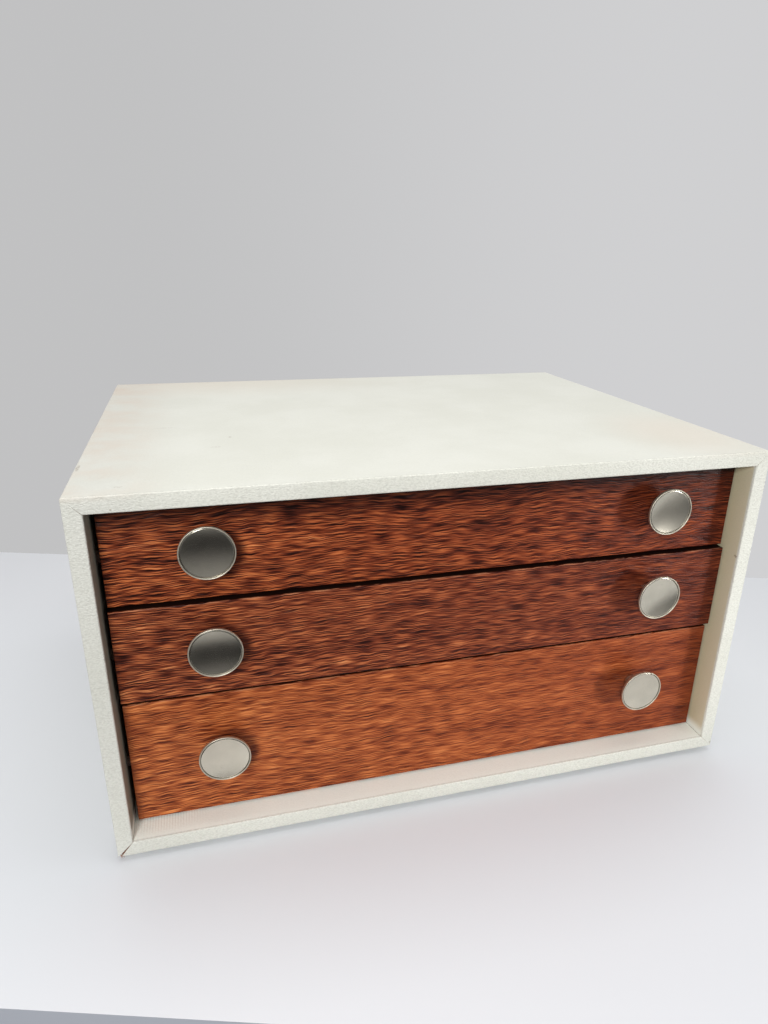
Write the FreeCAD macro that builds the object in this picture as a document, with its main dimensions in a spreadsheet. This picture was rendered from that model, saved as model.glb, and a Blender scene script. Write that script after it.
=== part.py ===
import FreeCAD, Part
import math
import operator
import os
import types

import Sketcher

# A table-top cutlery chest: a mitred, cloth-covered case on four low feet, with three dovetailed
# drawers on side-hung runners. Lengths are in millimetres. X runs to the right, the drawers open
# towards -Y and Z points up. The origin lies in the middle of the chest, on the table.

Vector = FreeCAD.Vector

os.makedirs("parts", exist_ok=True)
doc = FreeCAD.newDocument("cutlery_chest")

# Driving sizes
SIZES = {
    # case
    "case_width": 440.0,
    "case_depth": 337.0,
    "case_height": 240.0,
    "wall": 10.0,
    "corner_round": 1.5,
    "front_edge_round": 1.2,
    # back panel, held in a rebate by pins
    "back_thickness": 4.0,
    "back_inset": 0.8,
    "rebate_depth": 5.0,
    "back_clearance": 0.25,
    "back_pin_edge": 2.5,
    "back_pin_diameter": 1.5,
    "back_pin_length": 12.0,
    "back_pin_head_diameter": 3.0,
    "back_pin_head_thickness": 0.6,
    "back_pin_corner": 30.0,
    "pin_clearance": 0.05,
    # feet
    "foot_diameter": 16.0,
    "foot_height": 4.0,
    "foot_inset_side": 22.0,
    "foot_inset_front": 22.0,
    "foot_chamfer": 0.6,
    "foot_recess_diameter": 6.0,
    "foot_recess_depth": 1.8,
    "foot_pin_diameter": 1.6,
    "foot_pin_length": 9.0,
    "foot_pin_head_diameter": 4.4,
    "foot_pin_head_thickness": 0.8,
    # drawer fronts
    "recess": 17.5,
    "middle_proud": 3.0,
    "left_gap": 2.7,
    "right_gap": 1.4,
    "bottom_gap": 1.5,
    "lower_gap": 3.4,
    "upper_gap": 1.9,
    "top_gap": 1.2,
    "middle_front_height": 62.0,
    "top_front_height": 62.0,
    "front_thickness": 16.0,
    "front_lap": 6.0,
    "front_arris": 0.5,
    # drawer boxes
    "drawer_rear_gap": 6.7,
    "side_thickness": 10.0,
    "drawer_back_thickness": 10.0,
    "side_above_front_bottom": 1.0,
    "side_below_front_top": 6.0,
    "shallow_tails": 3,
    "shallow_tail_width": 14.0,
    "shallow_tail_base": 11.0,
    "deep_tails": 5,
    "deep_tail_width": 12.6,
    "deep_tail_base": 9.6,
    "bottom_thickness": 3.0,
    "bottom_groove_height": 3.2,
    "bottom_groove_depth": 4.5,
    "bottom_groove_rise": 5.0,
    "bottom_clearance": 0.3,
    "lining_thickness": 1.0,
    "lining_clearance": 0.3,
    # runners
    "runner_height": 8.0,
    "runner_protrusion": 7.5,
    "runner_chamfer": 1.5,
    "runner_clearance_above": 0.3,
    "runner_clearance_below": 0.5,
    "runner_stop_clearance": 0.3,
    "runner_rear_gap": 5.0,
    "runner_groove_depth": 6.8,
    "runner_groove_overrun": 1.0,
    "runner_screw_inset": 40.0,
    "runner_screw_diameter": 2.9,
    "runner_screw_length": 13.5,
    "runner_screw_head_diameter": 5.6,
    "screw_clearance": 0.05,
    # knobs
    "knob_inset": 70.5,
    "knob_diameter": 32.0,
    "knob_projection": 16.0,
    "knob_rim_width": 0.8,
    "knob_rim_step": 0.5,
    "knob_rim_chamfer": 0.25,
    "knob_dish_depth": 1.2,
    "knob_edge_thickness": 1.8,
    "knob_back_radius": 8.0,
    "knob_stem_length": 11.0,
    "knob_stem_base_radius": 5.0,
    "knob_stem_base_length": 1.0,
    "knob_stem_waist_radius": 4.2,
    "knob_stem_waist_place": 5.0,
    "knob_stem_top_radius": 7.5,
    "knob_stud_radius": 2.5,
    "knob_stud_length": 2.0,
    "knob_screw_diameter": 4.0,
    "knob_screw_reach": 8.0,
    "knob_screw_hole_diameter": 4.5,
    "knob_screw_head_diameter": 8.0,
    "knob_screw_head_thickness": 2.5,
    "top_knob_rise": 3.7,
    "middle_knob_rise": 5.4,
    "bottom_knob_rise": 5.5,
    # racks of the shallow drawers and divider of the deep one
    "rack_thickness": 12.0,
    "rack_height": 26.0,
    "rack_clearance": 0.3,
    "front_rack_place": 60.0,
    "rear_rack_place": 75.0,
    "rack_notches": 6,
    "notch_pitch": 62.0,
    "notch_radius": 17.3,
    "notch_depth": 14.0,
    "divider_thickness": 6.0,
    "divider_below_side": 16.0,
    "divider_clearance": 0.2,
    "divider_housing_depth": 2.0,
}

sheet = doc.addObject("Spreadsheet::Sheet", "Sizes")
for row, (alias, number) in enumerate(SIZES.items(), start=1):
    sheet.set(f"A{row}", alias)
    sheet.set(f"B{row}", str(number))
    sheet.setAlias(f"B{row}", alias)
doc.recompute()

# Sizes that carry their sheet formula

OPERATIONS = {"+": operator.add, "-": operator.sub, "*": operator.mul, "/": operator.truediv}


class Size:
    """A number together with the sheet formula that gives it."""

    def __init__(self, value, formula):
        self.value = float(value)
        self.formula = formula

    def __add__(self, other):
        return joined(self, "+", other)

    def __radd__(self, other):
        return joined(other, "+", self)

    def __sub__(self, other):
        return joined(self, "-", other)

    def __rsub__(self, other):
        return joined(other, "-", self)

    def __mul__(self, other):
        return joined(self, "*", other)

    def __rmul__(self, other):
        return joined(other, "*", self)

    def __truediv__(self, other):
        return joined(self, "/", other)

    def __neg__(self):
        return joined(0.0, "-", self)


def as_size(number):
    """A Size as it is, or a plain number as a Size."""
    if isinstance(number, Size):
        return number
    return Size(number, repr(float(number)))


def joined(first, sign, second):
    """Two sizes joined by one sign, both as a number and as a formula."""
    first = as_size(first)
    second = as_size(second)
    value = OPERATIONS[sign](first.value, second.value)
    return Size(value, f"({first.formula} {sign} {second.formula})")


def bind(target, name, size):
    """Set a property to a size and tie it to the sheet."""
    target.setExpression(name, as_size(size).formula)


S = types.SimpleNamespace(**{alias: Size(number, f"Sizes.{alias}") for alias, number in SIZES.items()})

# Bodies, sketches and features

nodes = []
LOCAL = {
    "XY_Plane": lambda x, y, z: (x, y, z),
    "XZ_Plane": lambda x, y, z: (x, z, -y),
    "YZ_Plane": lambda x, y, z: (y, z, x),
}


def new_body(name, x=0.0, y=0.0, z=0.0):
    """An empty body that is a part of the chest, placed at x, y, z."""
    body = doc.addObject("PartDesign::Body", name)
    body.Label = name
    place(body, x, y, z)
    nodes.append(body)
    return body


def place(target, x, y, z):
    """Tie an object's place to the sheet."""
    for axis, size in zip("xyz", (x, y, z)):
        bind(target, f"Placement.Base.{axis}", size)


def origin_part(body, role):
    """One of the body's own origin planes or axes."""
    return [part for part in body.Origin.OriginFeatures if part.Role == role][0]


def new_sketch(body, name, plane, at=(0.0, 0.0, 0.0)):
    """An empty sketch on an origin plane of the body, moved to the body's point `at`."""
    sketch = body.newObject("Sketcher::SketchObject", name)
    sketch.AttachmentSupport = [(origin_part(body, plane), "")]
    sketch.MapMode = "FlatFace"
    for axis, size in zip("xyz", LOCAL[plane](*[as_size(part) for part in at])):
        bind(sketch, f"AttachmentOffset.Base.{axis}", size)
    return sketch


def hold_point(sketch, edge, end, x, y):
    """Fix one end of an edge (or a circle's centre) at a place from the sheet."""
    for kind, size in (("DistanceX", x), ("DistanceY", y)):
        held = sketch.addConstraint(Sketcher.Constraint(kind, -1, 1, edge, end, as_size(size).value))
        bind(sketch, f"Constraints[{held}]", size)


def hold_radius(sketch, edge, radius):
    """Fix the radius of an arc or a circle."""
    held = sketch.addConstraint(Sketcher.Constraint("Radius", edge, as_size(radius).value))
    bind(sketch, f"Constraints[{held}]", radius)


def draw_loop(sketch, points):
    """A closed outline. A point is (x, y), or (x, y, radius, via) where an arc leaves it."""
    spots = [Vector(as_size(point[0]).value, as_size(point[1]).value, 0) for point in points]
    first = sketch.GeometryCount
    count = len(points)
    clockwise = [False] * count
    for number, point in enumerate(points):
        start = spots[number]
        end = spots[(number + 1) % count]
        if len(point) == 2:
            sketch.addGeometry(Part.LineSegment(start, end))
            continue
        via = Vector(as_size(point[3][0]).value, as_size(point[3][1]).value, 0)
        clockwise[number] = (via - start).cross(end - via).z < 0
        ordered = (end, via, start) if clockwise[number] else (start, via, end)
        sketch.addGeometry(Part.Arc(*ordered))
    begin = [2 if turned else 1 for turned in clockwise]
    finish = [1 if turned else 2 for turned in clockwise]
    for number, point in enumerate(points):
        following = (number + 1) % count
        sketch.addConstraint(Sketcher.Constraint("Coincident", first + number, finish[number],
                                                 first + following, begin[following]))
        hold_point(sketch, first + number, begin[number], point[0], point[1])
        if len(point) == 4:
            hold_radius(sketch, first + number, point[2])


def draw_circle(sketch, x, y, radius):
    """A circle with its centre and radius from the sheet."""
    centre = Vector(as_size(x).value, as_size(y).value, 0)
    edge = sketch.addGeometry(Part.Circle(centre, Vector(0, 0, 1), as_size(radius).value))
    hold_point(sketch, edge, 3, x, y)
    hold_radius(sketch, edge, radius)


def extrude(body, name, plane, start, end, loops=(), circles=(), cut=False):
    """Pad (or pocket) outlines drawn across one axis, from `start` to `end` along that axis."""
    start = as_size(start)
    end = as_size(end)
    at = {"XY_Plane": (0.0, 0.0, start), "XZ_Plane": (0.0, start, 0.0), "YZ_Plane": (start, 0.0, 0.0)}
    sketch = new_sketch(body, name + "_outline", plane, at[plane])
    for points in loops:
        draw_loop(sketch, points)
    for x, y, radius in circles:
        draw_circle(sketch, x, y, radius)
    feature = body.newObject("PartDesign::Pocket" if cut else "PartDesign::Pad", name)
    feature.Profile = sketch
    forward = end.value > start.value
    along_normal = forward != (plane == "XZ_Plane")
    feature.Reversed = along_normal if cut else not along_normal
    bind(feature, "Length", end - start if forward else start - end)
    return feature


def revolve(body, name, plane, points, axis):
    """Turn an outline through a whole round about an axis of its own sketch."""
    sketch = new_sketch(body, name + "_outline", plane)
    draw_loop(sketch, points)
    feature = body.newObject("PartDesign::Revolution", name)
    feature.Profile = sketch
    feature.ReferenceAxis = (sketch, [axis])
    feature.Angle = 360
    return feature


def repeat(body, name, originals, axis, length, count):
    """A row of copies of features along an origin axis of the body."""
    pattern = body.newObject("PartDesign::LinearPattern", name)
    pattern.Originals = originals
    pattern.Direction = (origin_part(body, axis), [""])
    bind(pattern, "Length", length)
    bind(pattern, "Occurrences", count)
    body.Tip = pattern
    return pattern


def round_edges(body, name, base, radius, wanted):
    """Fillet those edges of the body that the test `wanted` picks."""
    doc.recompute()
    edges = [f"Edge{place_in_list}" for place_in_list, edge in enumerate(base.Shape.Edges, start=1)
             if wanted(edge)]
    fillet = body.newObject("PartDesign::Fillet", name)
    fillet.Base = (base, edges)
    bind(fillet, "Radius", radius)
    return fillet


def rectangle(x0, y0, x1, y1):
    """The corners of a rectangle in order."""
    return [(x0, y0), (x1, y0), (x1, y1), (x0, y1)]


def turned_solid(points):
    """A solid turned about Z from (radius, height) points."""
    corners = [Vector(as_size(radius).value, 0, as_size(height).value) for radius, height in points]
    face = Part.Face(Part.makePolygon(corners + corners[:1]))
    return face.revolve(Vector(0, 0, 0), Vector(0, 0, 1), 360)


def fastener_group(name, points, spots, heading, x=0.0, y=0.0, z=0.0):
    """Like fasteners in one object: the solid of `points`, pointing along each spot's heading."""
    solids = []
    for spot, direction in zip(spots, heading):
        solid = turned_solid(points)
        where = Vector(*[as_size(part).value for part in spot])
        solid.Placement = FreeCAD.Placement(where, FreeCAD.Rotation(Vector(0, 0, 1), Vector(*direction)))
        solids.append(solid)
    group = doc.addObject("Part::Feature", name)
    group.Label = name
    group.Shape = Part.makeCompound(solids)
    place(group, x, y, z)
    nodes.append(group)
    return group


# Where the case stands: the middle knobs reach furthest forward, the case's back furthest back

knob_overhang = S.knob_projection + S.middle_proud - S.recess
case_front = knob_overhang / 2 - S.case_depth / 2
case_base = S.foot_height
half_width = S.case_width / 2
inner_half = half_width - S.wall
rear_inner = S.case_depth - S.back_inset - S.back_thickness
rebate_edge = S.wall - S.rebate_depth
drawer_depth = rear_inner - S.recess - S.drawer_rear_gap

# Drawer rows. Heights are above the case's underside; the deep drawer takes what the others leave.

deep_bottom = S.wall + S.bottom_gap
top_bottom = S.case_height - S.wall - S.top_gap - S.top_front_height
middle_bottom = top_bottom - S.upper_gap - S.middle_front_height
deep_front_height = middle_bottom - S.lower_gap - deep_bottom
front_width = S.case_width - 2 * S.wall - S.left_gap - S.right_gap
drawer_shift = (S.left_gap - S.right_gap) / 2

DRAWERS = {
    "top": types.SimpleNamespace(
        base=top_bottom, front_height=S.top_front_height, proud=0.0, knob_rise=S.top_knob_rise,
        tails=S.shallow_tails, tail_width=S.shallow_tail_width, tail_base=S.shallow_tail_base),
    "middle": types.SimpleNamespace(
        base=middle_bottom, front_height=S.middle_front_height, proud=S.middle_proud,
        knob_rise=S.middle_knob_rise, tails=S.shallow_tails, tail_width=S.shallow_tail_width,
        tail_base=S.shallow_tail_base),
    "bottom": types.SimpleNamespace(
        base=deep_bottom, front_height=deep_front_height, proud=0.0, knob_rise=S.bottom_knob_rise,
        tails=S.deep_tails, tail_width=S.deep_tail_width, tail_base=S.deep_tail_base),
}
for row in DRAWERS.values():
    row.side_bottom = S.side_above_front_bottom
    row.side_height = row.front_height - S.side_above_front_bottom - S.side_below_front_top
    row.side_middle = row.side_bottom + row.side_height / 2
    row.runner_middle = (row.base + row.side_middle
                         + (S.runner_clearance_below - S.runner_clearance_above) / 2)

# Pins and screws of the case: spots in the case's own frame

pin_across = half_width - rebate_edge - S.back_clearance - S.back_pin_edge
pin_up_low = rebate_edge + S.back_clearance + S.back_pin_edge
pin_up_high = S.case_height - pin_up_low
pin_row = S.case_width / 2 - S.back_pin_corner
pin_xs = [-pin_row, -(pin_row / 3), pin_row / 3, pin_row]
pin_zs = [S.back_pin_corner, S.case_height / 2, S.case_height - S.back_pin_corner]
foot_x = half_width - S.foot_inset_side
foot_ys = [S.foot_inset_front, S.case_depth - S.foot_inset_front]
runner_front = S.recess + S.front_lap + S.runner_stop_clearance
runner_rear = rear_inner - S.runner_rear_gap
runner_screw_ys = [runner_front + S.runner_screw_inset, runner_rear - S.runner_screw_inset]

# Case panels


def panel_outline(x_sign, z_sign, flat):
    """A mitred panel's section: `flat` panels lie under or over the opening, the others beside it."""
    turn = 1 - 1 / math.sqrt(2)
    middle = 1 - math.cos(math.pi / 8)
    far = 1 - math.sin(math.pi / 8)

    rounding = S.corner_round
    one_end = [(rounding * 0.0, rounding), (rounding * turn, rounding * turn), (S.wall, S.wall)]
    via = (rounding * middle, rounding * far)
    points = []
    for end in (-1, 1):
        stops = one_end if end == 1 else one_end[::-1]
        for number, (across, along) in enumerate(stops):
            corner = section_point(x_sign, z_sign, flat, end, across, along)
            leaves_arc = (end == 1 and number == 0) or (end == -1 and number == 1)
            if leaves_arc:
                corner = corner + (rounding, section_point(x_sign, z_sign, flat, end, *via))
            points.append(corner)
    return points


def section_point(x_sign, z_sign, flat, end, across, along):
    """A point of a panel's section, `across` in from its face and `along` in from one end."""
    if flat:
        x = end * (half_width - along)
        z = S.case_height - across if z_sign > 0 else as_size(across)
        return x, z
    x = x_sign * (half_width - across)
    z = S.case_height - along if end > 0 else as_size(along)
    return x, z


def case_panel(name, x_sign, z_sign, flat):
    """One mitred panel with rounded front edges, rebated for the back and bored for its pins."""
    body = new_body(name, 0.0, case_front, case_base)
    board = extrude(body, "board", "XZ_Plane", 0.0, S.case_depth, loops=[panel_outline(x_sign, z_sign, flat)])

    def long_front_edge(edge):
        """An edge in the front face that isn't part of a mitre."""
        ends = [vertex.Point for vertex in edge.Vertexes]
        if max(abs(point.y) for point in ends) > 1e-6:
            return False
        across = ends[1] - ends[0]
        return isinstance(edge.Curve, Part.Circle) or abs(abs(across.x) - abs(across.z)) > 1e-3

    round_edges(body, "eased_front", board, S.front_edge_round, long_front_edge)
    extrude(body, "back_rebate", "XZ_Plane", S.case_depth, rear_inner, cut=True,
            loops=[rectangle(-(half_width - rebate_edge), rebate_edge,
                             half_width - rebate_edge, S.case_height - rebate_edge)])
    radius = S.back_pin_diameter / 2 + S.pin_clearance
    if flat:
        height = pin_up_high if z_sign > 0 else pin_up_low
        bores = [(x, height, radius) for x in pin_xs]
    else:
        bores = [(x_sign * pin_across, z, radius) for z in pin_zs]
    pin_end = rear_inner + S.back_thickness - S.back_pin_length - S.pin_clearance
    extrude(body, "back_pin_bores", "XZ_Plane", rear_inner, pin_end, circles=bores, cut=True)
    return body


case_panel("case_top_panel", 0, 1, True)

bottom_panel = case_panel("case_bottom_panel", 0, -1, True)
foot_pin_bore = S.foot_pin_diameter / 2 + S.pin_clearance
foot_pin_rise = S.foot_pin_length - (S.foot_height - S.foot_recess_depth) + S.pin_clearance
extrude(bottom_panel, "foot_pin_bores", "XY_Plane", 0.0, foot_pin_rise, cut=True,
        circles=[(sign * foot_x, y, foot_pin_bore) for sign in (-1, 1) for y in foot_ys])

for side, sign in (("left", -1), ("right", 1)):
    panel = case_panel(f"case_{side}_panel", sign, 0, False)
    bore_radius = S.runner_screw_diameter / 2 + S.screw_clearance
    bore_depth = S.runner_screw_length - S.runner_protrusion + S.pin_clearance
    extrude(panel, "runner_screw_bores", "YZ_Plane", sign * inner_half, sign * (inner_half + bore_depth),
            cut=True, circles=[(y, row.runner_middle, bore_radius)
                               for row in DRAWERS.values() for y in runner_screw_ys])

# Back panel and its pins

back = new_body("case_back_panel", 0.0, case_front, case_base)
back_edge = rebate_edge + S.back_clearance
back_bore = S.back_pin_diameter / 2 + S.pin_clearance
back_pin_spots = ([(x, z) for z in (pin_up_high, pin_up_low) for x in pin_xs]
                  + [(sign * pin_across, z) for sign in (-1, 1) for z in pin_zs])
extrude(back, "sheet", "XZ_Plane", rear_inner, rear_inner + S.back_thickness,
        loops=[rectangle(-(half_width - back_edge), back_edge, half_width - back_edge,
                         S.case_height - back_edge)])
extrude(back, "pin_holes", "XZ_Plane", rear_inner + S.back_thickness, rear_inner, cut=True,
        circles=[(x, z, back_bore) for x, z in back_pin_spots])

fastener_group(
    "back_panel_pins",
    [(0.0, -S.back_pin_head_thickness), (S.back_pin_head_diameter / 2, -S.back_pin_head_thickness),
     (S.back_pin_head_diameter / 2, 0.0), (S.back_pin_diameter / 2, 0.0),
     (S.back_pin_diameter / 2, S.back_pin_length - S.back_pin_diameter), (0.0, S.back_pin_length)],
    [(x, rear_inner + S.back_thickness, z) for x, z in back_pin_spots],
    [(0, -1, 0)] * len(back_pin_spots),
    0.0, case_front, case_base)

# Feet, each on a pin whose head is sunk in its underside

foot_hole = S.foot_pin_diameter / 2 + S.pin_clearance
for depth_name, y in zip(("front", "rear"), foot_ys):
    for side, sign in (("left", -1), ("right", 1)):
        foot = new_body(f"{depth_name}_{side}_foot", sign * foot_x, case_front + y, 0.0)
        revolve(foot, "disc", "XZ_Plane", [
            (foot_hole, S.foot_height),
            (foot_hole, S.foot_recess_depth),
            (S.foot_recess_diameter / 2, S.foot_recess_depth),
            (S.foot_recess_diameter / 2, 0.0),
            (S.foot_diameter / 2 - S.foot_chamfer, 0.0),
            (S.foot_diameter / 2, S.foot_chamfer),
            (S.foot_diameter / 2, S.foot_height)], "V_Axis")

foot_spots = [(sign * foot_x, y, S.foot_recess_depth) for sign in (-1, 1) for y in foot_ys]
fastener_group(
    "foot_pins",
    [(0.0, -S.foot_pin_head_thickness), (S.foot_pin_head_diameter / 2, -S.foot_pin_head_thickness),
     (S.foot_pin_head_diameter / 2, 0.0), (S.foot_pin_diameter / 2, 0.0),
     (S.foot_pin_diameter / 2, S.foot_pin_length - S.foot_pin_diameter), (0.0, S.foot_pin_length)],
    foot_spots, [(0, 0, 1)] * len(foot_spots), 0.0, case_front, 0.0)

# Runners, with a nosed front end and two sunk screws each

screw_head_depth = (S.runner_screw_head_diameter - S.runner_screw_diameter) / 2
for row_name, row in DRAWERS.items():
    for side, sign in (("left", -1), ("right", 1)):
        runner = new_body(f"{row_name}_{side}_runner", sign * (inner_half - S.runner_protrusion),
                          case_front, case_base + row.runner_middle)
        low = -(S.runner_height / 2)
        high = S.runner_height / 2
        extrude(runner, "strip", "YZ_Plane", 0.0, sign * S.runner_protrusion, loops=[[
            (runner_front, low + S.runner_chamfer),
            (runner_front + S.runner_chamfer, low),
            (runner_rear, low),
            (runner_rear, high),
            (runner_front + S.runner_chamfer, high),
            (runner_front, high - S.runner_chamfer)]])
        holes = new_sketch(runner, "screw_centres", "YZ_Plane")
        for y in runner_screw_ys:
            draw_circle(holes, y, 0.0, S.runner_screw_diameter / 2)
        doc.recompute()
        hole = runner.newObject("PartDesign::Hole", "screw_holes")
        hole.Profile = holes
        hole.Reversed = sign > 0
        doc.recompute()
        hole.DepthType = "ThroughAll"
        hole.HoleCutType = "Countersink"
        hole.HoleCutCountersinkAngle = 90
        bind(hole, "Diameter", S.runner_screw_diameter + 2 * S.screw_clearance)
        bind(hole, "HoleCutDiameter", S.runner_screw_head_diameter + 2 * S.screw_clearance)

runner_screw_spots = [(sign * (inner_half - S.runner_protrusion), y, row.runner_middle)
                      for row in DRAWERS.values() for sign in (-1, 1) for y in runner_screw_ys]
runner_screw_headings = [(sign, 0, 0) for row in DRAWERS for sign in (-1, 1) for y in runner_screw_ys]
fastener_group(
    "runner_screws",
    [(0.0, S.screw_clearance), (S.runner_screw_head_diameter / 2 - S.screw_clearance, S.screw_clearance),
     (S.runner_screw_diameter / 2, screw_head_depth),
     (S.runner_screw_diameter / 2, S.runner_screw_length - S.runner_screw_diameter),
     (0.0, S.runner_screw_length)],
    runner_screw_spots, runner_screw_headings, 0.0, case_front, case_base)

# Drawers. Each is drawn in its own frame: X from its middle, Y from its face, Z from its lower edge.

half_front = front_width / 2
inner_front = half_front - S.side_thickness
socket_bottom = S.front_lap
box_front = S.front_thickness
box_rear = drawer_depth - S.drawer_back_thickness
bottom_low = S.side_above_front_bottom + S.bottom_groove_rise
bottom_high = bottom_low + S.bottom_groove_height
lining_top = bottom_low + S.bottom_thickness + S.lining_thickness
divider_top = (S.side_above_front_bottom + DRAWERS["bottom"].side_height - S.divider_below_side)


def tail_outline(row, base, tip):
    """The lowest tail of a side, from its root at `base` to its wide end at `tip`."""
    middle = row.side_bottom + row.side_height / row.tails / 2
    return [(base, middle - row.tail_base / 2), (tip, middle - row.tail_width / 2),
            (tip, middle + row.tail_width / 2), (base, middle + row.tail_base / 2)]


def repeat_tails(body, name, originals, row):
    """Repeat the lowest tail or its socket up the whole side."""
    pitch = row.side_height / row.tails
    return repeat(body, name, originals, "Z_Axis", pitch * (row.tails - 1), row.tails)


def drawer_side(name, row, place_at, sign):
    """A side with tails at both ends, a runner groove outside and a bottom groove inside."""
    body = new_body(name, *place_at)
    outside = sign * half_front
    inside = sign * inner_front
    extrude(body, "board", "YZ_Plane", outside, inside,
            loops=[rectangle(box_front, row.side_bottom, box_rear, row.side_bottom + row.side_height)])
    tails = extrude(body, "tails", "YZ_Plane", outside, inside,
                    loops=[tail_outline(row, box_front, socket_bottom),
                           tail_outline(row, box_rear, drawer_depth)])
    repeat_tails(body, "tail_rows", [tails], row)
    groove_half = (S.runner_height + S.runner_clearance_above + S.runner_clearance_below) / 2
    extrude(body, "runner_groove", "YZ_Plane", outside, sign * (half_front - S.runner_groove_depth),
            cut=True, loops=[rectangle(
                socket_bottom - S.runner_groove_overrun, row.side_middle - groove_half,
                drawer_depth + S.runner_groove_overrun, row.side_middle + groove_half)])
    extrude(body, "bottom_groove", "YZ_Plane", inside, sign * (inner_front + S.bottom_groove_depth),
            cut=True, loops=[rectangle(box_front - S.bottom_groove_depth, bottom_low,
                                       box_rear + S.bottom_groove_depth, bottom_high)])
    return body


def end_sockets(body, row, base, tip):
    """Sockets for the tails of both sides, cut into the ends of a front or a back."""
    cuts = [extrude(body, f"{side}_socket", "YZ_Plane", sign * half_front, sign * inner_front,
                    loops=[tail_outline(row, base, tip)], cut=True)
            for side, sign in (("left", -1), ("right", 1))]
    return repeat_tails(body, "socket_rows", cuts, row)


def bottom_groove(body, start, end):
    """The groove for the drawer bottom in a front or a back."""
    return extrude(body, "bottom_groove", "XZ_Plane", start, end, cut=True,
                   loops=[rectangle(-inner_front, bottom_low, inner_front, bottom_high)])


def divider_housing(body, start, end):
    """The shallow housing that holds one end of the divider."""
    half = S.divider_thickness / 2 + S.divider_clearance
    return extrude(body, "divider_housing", "XZ_Plane", start, end, cut=True,
                   loops=[rectangle(-half, lining_top, half, divider_top)])


def knob(name, x, y, z):
    """A dished disc on a waisted stem, both turned about the knob's own axis, which runs along Y."""
    dish = new_body(name + "_knob_dish", x, y, z)
    face = S.knob_projection
    rim_outer = S.knob_diameter / 2
    rim_inner = rim_outer - S.knob_rim_width
    dish_edge = face - S.knob_rim_step
    dish_middle = dish_edge - S.knob_dish_depth
    dish_radius = (rim_inner * rim_inner + S.knob_dish_depth * S.knob_dish_depth) / (2 * S.knob_dish_depth)
    half_way = rim_inner / 2
    sag = dish_radius.value - math.sqrt(dish_radius.value ** 2 - half_way.value ** 2)
    via = (-(dish_middle + sag), half_way)
    revolve(dish, "disc", "YZ_Plane", [
        (-dish_middle, 0.0, dish_radius, via),
        (-dish_edge, rim_inner),
        (-face, rim_inner),
        (-face, rim_outer - S.knob_rim_chamfer),
        (-(face - S.knob_rim_chamfer), rim_outer),
        (-(face - S.knob_edge_thickness), rim_outer),
        (-S.knob_stem_length, S.knob_back_radius),
        (-S.knob_stem_length, S.knob_stud_radius),
        (-(S.knob_stem_length - S.knob_stud_length), S.knob_stud_radius),
        (-(S.knob_stem_length - S.knob_stud_length), 0.0)], "H_Axis")

    stem = new_body(name + "_knob_stem", x, y, z)
    bore = S.knob_screw_diameter / 2 + S.screw_clearance
    socket = S.knob_stud_radius + S.screw_clearance
    socket_floor = S.knob_stem_length - S.knob_stud_length - S.screw_clearance
    waist = S.knob_stem_waist_place
    flare = S.knob_stem_length - waist
    swell = S.knob_stem_top_radius - S.knob_stem_waist_radius
    flare_radius = (flare * flare + swell * swell) / (2 * swell)
    flare_via = (-(waist + flare / 2),
                 S.knob_stem_waist_radius + flare_radius.value
                 - math.sqrt(flare_radius.value ** 2 - (flare.value / 2) ** 2))
    revolve(stem, "stalk", "YZ_Plane", [
        (0.0, bore),
        (0.0, S.knob_stem_base_radius),
        (-S.knob_stem_base_length, S.knob_stem_base_radius),
        (-waist, S.knob_stem_waist_radius, flare_radius, flare_via),
        (-S.knob_stem_length, S.knob_stem_top_radius),
        (-S.knob_stem_length, socket),
        (-socket_floor, socket),
        (-socket_floor, bore)], "H_Axis")


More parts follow.
